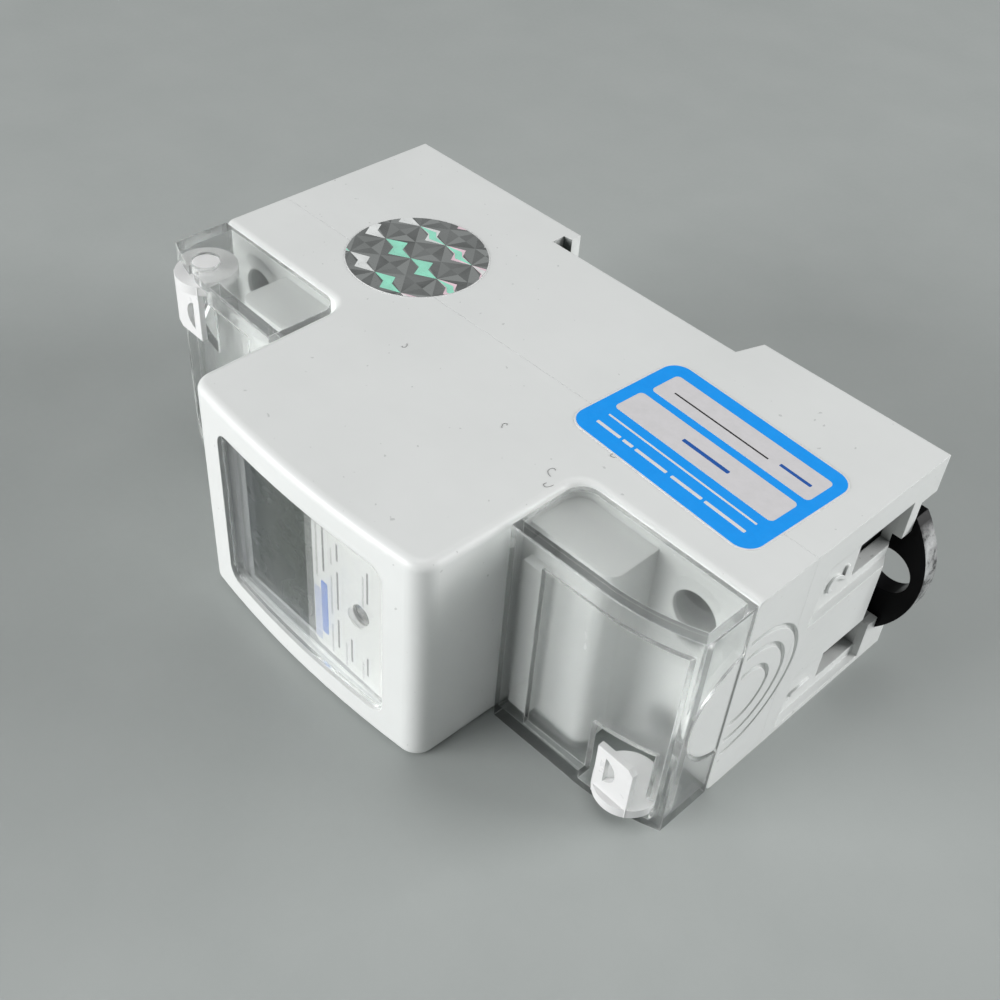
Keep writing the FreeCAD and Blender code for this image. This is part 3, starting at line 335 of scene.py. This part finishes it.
def rounded_outline(left, right, low, high, radius, steps=6):
    points = []
    corners = ((right, high, 0), (left, high, 1), (left, low, 2), (right, low, 3))
    for x, y, quarter in corners:
        centre_x = x - math.copysign(radius, x - (left + right) / 2)
        centre_y = y - math.copysign(radius, y - (low + high) / 2)
        for i in range(steps + 1):
            angle = (quarter + i / steps) * math.pi / 2
            points.append((centre_x + radius * math.cos(angle), centre_y + radius * math.sin(angle)))
    return points


def slab(name, outlines, low, high, place, material, body="case"):
    """Closed flat pieces with the given outlines, between two heights over the place, in millimetres."""
    points, faces = [], []
    for outline in outlines:
        start, count = len(points), len(outline)
        points += [place @ Vector((x * MM, y * MM, low * MM)) for x, y in outline]
        points += [place @ Vector((x * MM, y * MM, high * MM)) for x, y in outline]
        faces.append([start + i for i in reversed(range(count))])
        faces.append([start + count + i for i in range(count)])
        for i in range(count):
            j = (i + 1) % count
            faces.append((start + i, start + j, start + count + j, start + count + i))
    mesh = bpy.data.meshes.new(name)
    mesh.from_pydata(points, [], faces)
    mesh.materials.append(material)
    obj = bpy.data.objects.new(name, mesh)
    bpy.context.scene.collection.objects.link(obj)
    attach(obj, body)
    return obj


def bar(left, right, low, high):
    return rounded_outline(left, right, low, high, min(right - left, high - low) * 0.24, 3)


def blue_label():
    """Paper, blue field and pale panels with plain rules."""
    low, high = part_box("blue_label")
    centre = (low + high) / 2
    turn, corner, border = math.radians(-3.2), 2.8, 0.24
    # Bottom and top of each layer, a little sunk in the one below
    paper_layer, field_layer, panel_layer = (0.0, 0.06), (0.055, 0.08), (0.075, 0.095)
    header_layer, ink_layer = (0.075, 0.09), (0.09, 0.105)
    # It lies turned, so its length and width come from the two sides of its box
    spread = [(high[i] - low[i]) / MM - 2 * corner for i in range(2)]
    c, d = math.cos(turn), math.sin(-turn)
    half_long = ((spread[0] * c - spread[1] * d) / (c * c - d * d)) / 2 + corner
    half_wide = ((spread[1] * c - spread[0] * d) / (c * c - d * d)) / 2 + corner
    place = Matrix.Translation((centre.x, centre.y, low.z)) @ Matrix.Rotation(turn, 4, "Z")

    def field(name, edge, layer, material):
        outer = rounded_outline(edge - half_long, half_long - edge, edge - half_wide, half_wide - edge,
                                corner - edge, 10)
        return slab(name, [outer], *layer, place, material)

    paper = field("label_paper", 0.0, paper_layer, PAPER)
    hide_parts("blue_label")
    field("label_field", border, field_layer, BLUE)
    panels = [rounded_outline(-13.0, 13.7, 2.7, 7.85, 0.7), rounded_outline(-13.4, 13.4, -3.7, 1.4, 0.7)]
    slab("label_panels", panels, *panel_layer, place, PANEL)
    dashes = ((-12.6, -8.4), (-7.9, -6.2), (-5.7, -0.3), (0.5, 5.6), (6.1, 12.6))
    slab("label_header", [bar(a, b, -7.7, -7.2) for a, b in dashes] + [bar(-12.6, 12.6, -5.5, -5.2)],
         *header_layer, place, PAPER)
    slab("label_rules", [bar(-3.4, 4.4, -1.55, -0.95), bar(7.2, 12.2, 4.9, 5.4)],
         *ink_layer, place, DEEP_BLUE)
    slab("label_line", [bar(-10.6, 5.6, 4.6, 4.85)], *ink_layer, place, BLACK_INK)


STICKER_SIDES = 72


def clip(polygon, radius, sides=STICKER_SIDES):
    """The part of a convex polygon inside a regular outline about the origin."""
    for k in range(sides):
        angle = (k + 0.5) / sides * 2 * math.pi
        normal = (math.cos(angle), math.sin(angle))
        limit = radius * math.cos(math.pi / sides)
        kept = []
        for i, (x0, y0) in enumerate(polygon):
            x1, y1 = polygon[(i + 1) % len(polygon)]
            d0 = x0 * normal[0] + y0 * normal[1] - limit
            d1 = x1 * normal[0] + y1 * normal[1] - limit
            if d0 <= 0:
                kept.append((x0, y0))
            if (d0 < 0 < d1) or (d1 < 0 < d0):
                t = d0 / (d0 - d1)
                kept.append((x0 + (x1 - x0) * t, y0 + (y1 - y0) * t))
        polygon = kept
        if len(polygon) < 3:
            return []
    return polygon


def round_sticker():
    """Foil disc with a lattice of facets toned by their angle as painted reflection, and painted glints in
    zigzags from hub to hub.
    """
    low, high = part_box("round_sticker")
    centre = (low + high) / 2
    place = Matrix.Translation((centre.x, centre.y, low.z)) @ Matrix.Rotation(math.radians(-5), 4, "Z")
    radius = (high.x - low.x) / 2 / MM
    rng = random.Random(5)
    step, sectors, row_shift, margin = 6.35, 12, 1.2, 0.1
    base_top, facet_high, wide_high, core_high, turned_up = 0.07, 0.09, 0.095, 0.103, 0.003
    mint_glint, rose_glint, white_glint = (0.36, 0.90, 0.68, 1), (0.95, 0.70, 0.78, 1), (0.88, 0.90, 0.89, 1)
    points, faces, tones = [], [], []

    def facet(corners, height, tone):
        kept = clip(corners, radius - margin)
        if kept:
            start = len(points)
            points.extend(place @ Vector((x * MM, y * MM, height * MM)) for x, y in kept)
            faces.append(list(range(start, start + len(kept))))
            tones.append(tone)

    for row in range(-2, 3):
        for column in range(-2, 3):
            hub_x, hub_y = column * step, row * step - row_shift
            rim = []
            for k in range(sectors):
                angle = (k + 0.5) / sectors * 2 * math.pi
                reach = step / 2 / max(abs(math.cos(angle)), abs(math.sin(angle)))
                rim.append((hub_x + reach * math.cos(angle), hub_y + reach * math.sin(angle)))
            for k in range(sectors):
                # Painted reflection: a sector's tone follows its angle, lighter where it would face the
                # light.
                shade = (0.125, 0.20, 0.155, 0.26)[(k * 3 + row) % 4] + rng.uniform(-0.02, 0.02)
                tone = (shade * 0.97, shade * 1.02, shade, 1)
                facet([(hub_x, hub_y), rim[k], rim[(k + 1) % sectors]], facet_high, tone)
            # Painted glints: each zigzag takes white, rose or mint.
            wide = rng.choice((white_glint, rose_glint, white_glint, mint_glint))
            core = mint_glint if abs(row) < 2 and rng.random() < 0.7 else white_glint
            stretch = rng.uniform(0.75, 1.05)
            for height, spread, tone in ((wide_high, stretch, wide), (core_high, 0.55 * stretch, core)):
                for turn in (1, -1):
                    near = hub_x if turn > 0 else hub_x + step
                    zigzag = [(0.0, 0.0), (0.70, -0.10 * spread), (0.44, 0.32 * spread)]
                    facet([(near + turn * a * step, hub_y + turn * b * step) for a, b in zigzag],
                          height + (turned_up if turn > 0 else 0.0), tone)
    mesh = bpy.data.meshes.new("sticker_foil")
    mesh.from_pydata(points, [], faces)
    colours = mesh.attributes.new("facet_painted_reflection_tone", "FLOAT_COLOR", "FACE")
    for item, tone in zip(colours.data, tones):
        item.color = tone
    mesh.materials.append(FOIL)
    foil = bpy.data.objects.new("sticker_foil", mesh)
    bpy.context.scene.collection.objects.link(foil)
    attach(foil, "case")
    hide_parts("round_sticker")
    angles = [i / STICKER_SIDES * 2 * math.pi for i in range(STICKER_SIDES)]
    ring = [(radius * math.cos(a), radius * math.sin(a)) for a in angles]
    slab("sticker_base", [ring], 0.0, base_top, place, PAPER)


def plate_marks():
    """Plain rules on the name plate."""
    low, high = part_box("name_plate")
    place = Matrix(((1, 0, 0, 0), (0, 0, -1, low.y), (0, 1, 0, 0), (0, 0, 0, 1)))

    left = low.x / MM
    ink, band_wide, rule_wide = 0.02, 1.3, 0.35

    def upright(from_left, z_low, z_high, wide):
        x = left + from_left
        return bar(x - wide / 2, x + wide / 2, z_low, z_high)

    rules = ((2.2, 19.5, 29.0), (5.0, 7.0, 12.5), (5.0, 14.5, 21.5), (5.0, 23.5, 26.5),
             (7.7, 6.5, 11.0), (10.9, 6.5, 10.0), (10.9, 20.5, 26.0))
    slab("plate_band", [upright(2.2, 7.5, 17.5, band_wide)], 0.0, ink, place, DEEP_BLUE)
    slab("plate_rules", [upright(*rule, rule_wide) for rule in rules], 0.0, ink, place, BLACK_INK)


blue_label()
round_sticker()
plate_marks()


# Raised terminal numbers in the recesses beside the wire entries


def terminal_numbers():
    numbers = {("lower", "live"): "2", ("lower", "neutral"): "1",
               ("upper", "live"): "4", ("upper", "neutral"): "3"}
    places = {"live": (9.3, 7.5), "neutral": (8.8, -13.4)}  # behind the seam, above the middle
    digit_size, digit_half, tray_deep = 6.0 * MM, 0.28 * MM, 1.0 * MM
    for (end, row), digit in numbers.items():
        side = 1 if end == "lower" else -1
        curve = bpy.data.curves.new("terminal_number_" + digit, "FONT")
        curve.body = digit
        curve.size = digit_size
        curve.extrude = digit_half
        curve.bevel_depth = 0.06 * MM
        curve.align_x = "CENTER"
        curve.align_y = "CENTER"
        curve.materials.append(CASE)
        obj = bpy.data.objects.new("terminal_number_" + digit, curve)
        bpy.context.scene.collection.objects.link(obj)
        behind, above = places[row]
        floor_x = CASE_X + side * (END_X - CASE_X - tray_deep)
        right, up, out = Vector((0, 0, side)), Vector((0, -1, 0)), Vector((side, 0, 0))
        turn = Matrix((right, up, out)).transposed().to_4x4()
        obj.matrix_world = Matrix.Translation((floor_x, SEAM_Y + behind * MM, MID_Z + above * MM)) @ turn
        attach(obj, "case")


terminal_numbers()


# Dust fibres on the upper side wall


def fibres():
    thick, lift = 0.022 * MM, 0.026 * MM
    # Place along and across, first heading in degrees, length in millimetres
    spots = ((0.0180, -0.0082, 40, 1.1), (0.0192, -0.0106, 130, 0.9), (-0.0125, -0.0060, 200, 0.7),
             (0.0081, -0.0067, 15, 0.7), (0.0207, -0.0004, 80, 0.6))
    for i, (x, y, turn, size) in enumerate(spots, start=1):
        curve = bpy.data.curves.new("fibre_%d" % i, "CURVE")
        curve.dimensions = "3D"
        curve.bevel_depth = thick
        curve.bevel_resolution = 1
        spline = curve.splines.new("NURBS")
        spline.points.add(4)
        for k, point in enumerate(spline.points):
            angle = math.radians(turn) + k * 1.15
            reach = size * MM * (0.25 + 0.22 * k)
            point.co = (x + reach * math.cos(angle) * 0.8, y + reach * math.sin(angle),
                        TOP_Z + lift, 1)
        spline.order_u = 4
        spline.use_endpoint_u = True
        curve.materials.append(BLACK)
        obj = bpy.data.objects.new("fibre_%d" % i, curve)
        bpy.context.scene.collection.objects.link(obj)
        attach(obj, "case")


fibres()


# Table, light and camera


def table():
    bpy.ops.mesh.primitive_plane_add(size=6, location=(0, 0, 0))
    floor = bpy.context.object
    floor.name = "table"
    s = Shader("table_top")
    tone = s.mix(s.ramp(s.noise(40, 5, 0.6), 0.3, 0.7), (0.392, 0.415, 0.406, 1), (0.368, 0.392, 0.383, 1))
    s.set(Base_Color=tone, Roughness=s.ramp(s.noise(900, 3, 0.6), 0.3, 0.7, 0.5, 0.62))
    s.bump(s.noise(1800, 3, 0.6), 0.1, 0.00003)
    floor.data.materials.append(s.material)


LIT_POINT = Vector((0, 0, 0.02))


def soft_lamp(name, place, size, power):
    light = bpy.data.lights.new(name, "AREA")
    light.shape = "RECTANGLE"
    light.size, light.size_y = size
    light.energy = power
    lamp = bpy.data.objects.new(name, light)
    lamp.location = place
    lamp.rotation_mode = "QUATERNION"
    lamp.rotation_quaternion = (LIT_POINT - Vector(place)).to_track_quat("-Z", "Y")
    bpy.context.scene.collection.objects.link(lamp)


def studio():
    world = bpy.data.worlds.new("room")
    world.use_nodes = True
    background = world.node_tree.nodes["Background"]
    background.inputs["Color"].default_value = (0.80, 0.82, 0.82, 1)
    background.inputs["Strength"].default_value = 0.22
    bpy.context.scene.world = world
    soft_lamp("window_light", (0.81, 0.93, 0.42), (0.70, 0.62), 15.2)
    soft_lamp("front_light", (-0.52, -1.14, 0.35), (0.80, 0.56), 18.0)
    soft_lamp("ceiling_light", (-0.10, 0.15, 1.30), (1.00, 1.00), 4.4)


CAMERA_PLACE = (0.09455, -0.09943, 0.14174)
CAMERA_RIGHT = Vector((0.68919, 0.72187, 0.06261))
CAMERA_UP = Vector((-0.52692, 0.43998, 0.72717))
CAMERA_LENS = 47.09


def camera():
    data = bpy.data.cameras.new("camera")
    data.sensor_width = 36
    data.lens = CAMERA_LENS
    data.clip_start, data.clip_end = 0.01, 20
    obj = bpy.data.objects.new("camera", data)
    back = CAMERA_RIGHT.cross(CAMERA_UP)
    turn = Matrix((CAMERA_RIGHT, CAMERA_UP, back)).transposed()
    obj.matrix_world = Matrix.Translation(CAMERA_PLACE) @ turn.to_4x4()
    bpy.context.scene.collection.objects.link(obj)
    bpy.context.scene.camera = obj


table()
studio()
camera()
bpy.context.scene.view_settings.view_transform = "Standard"
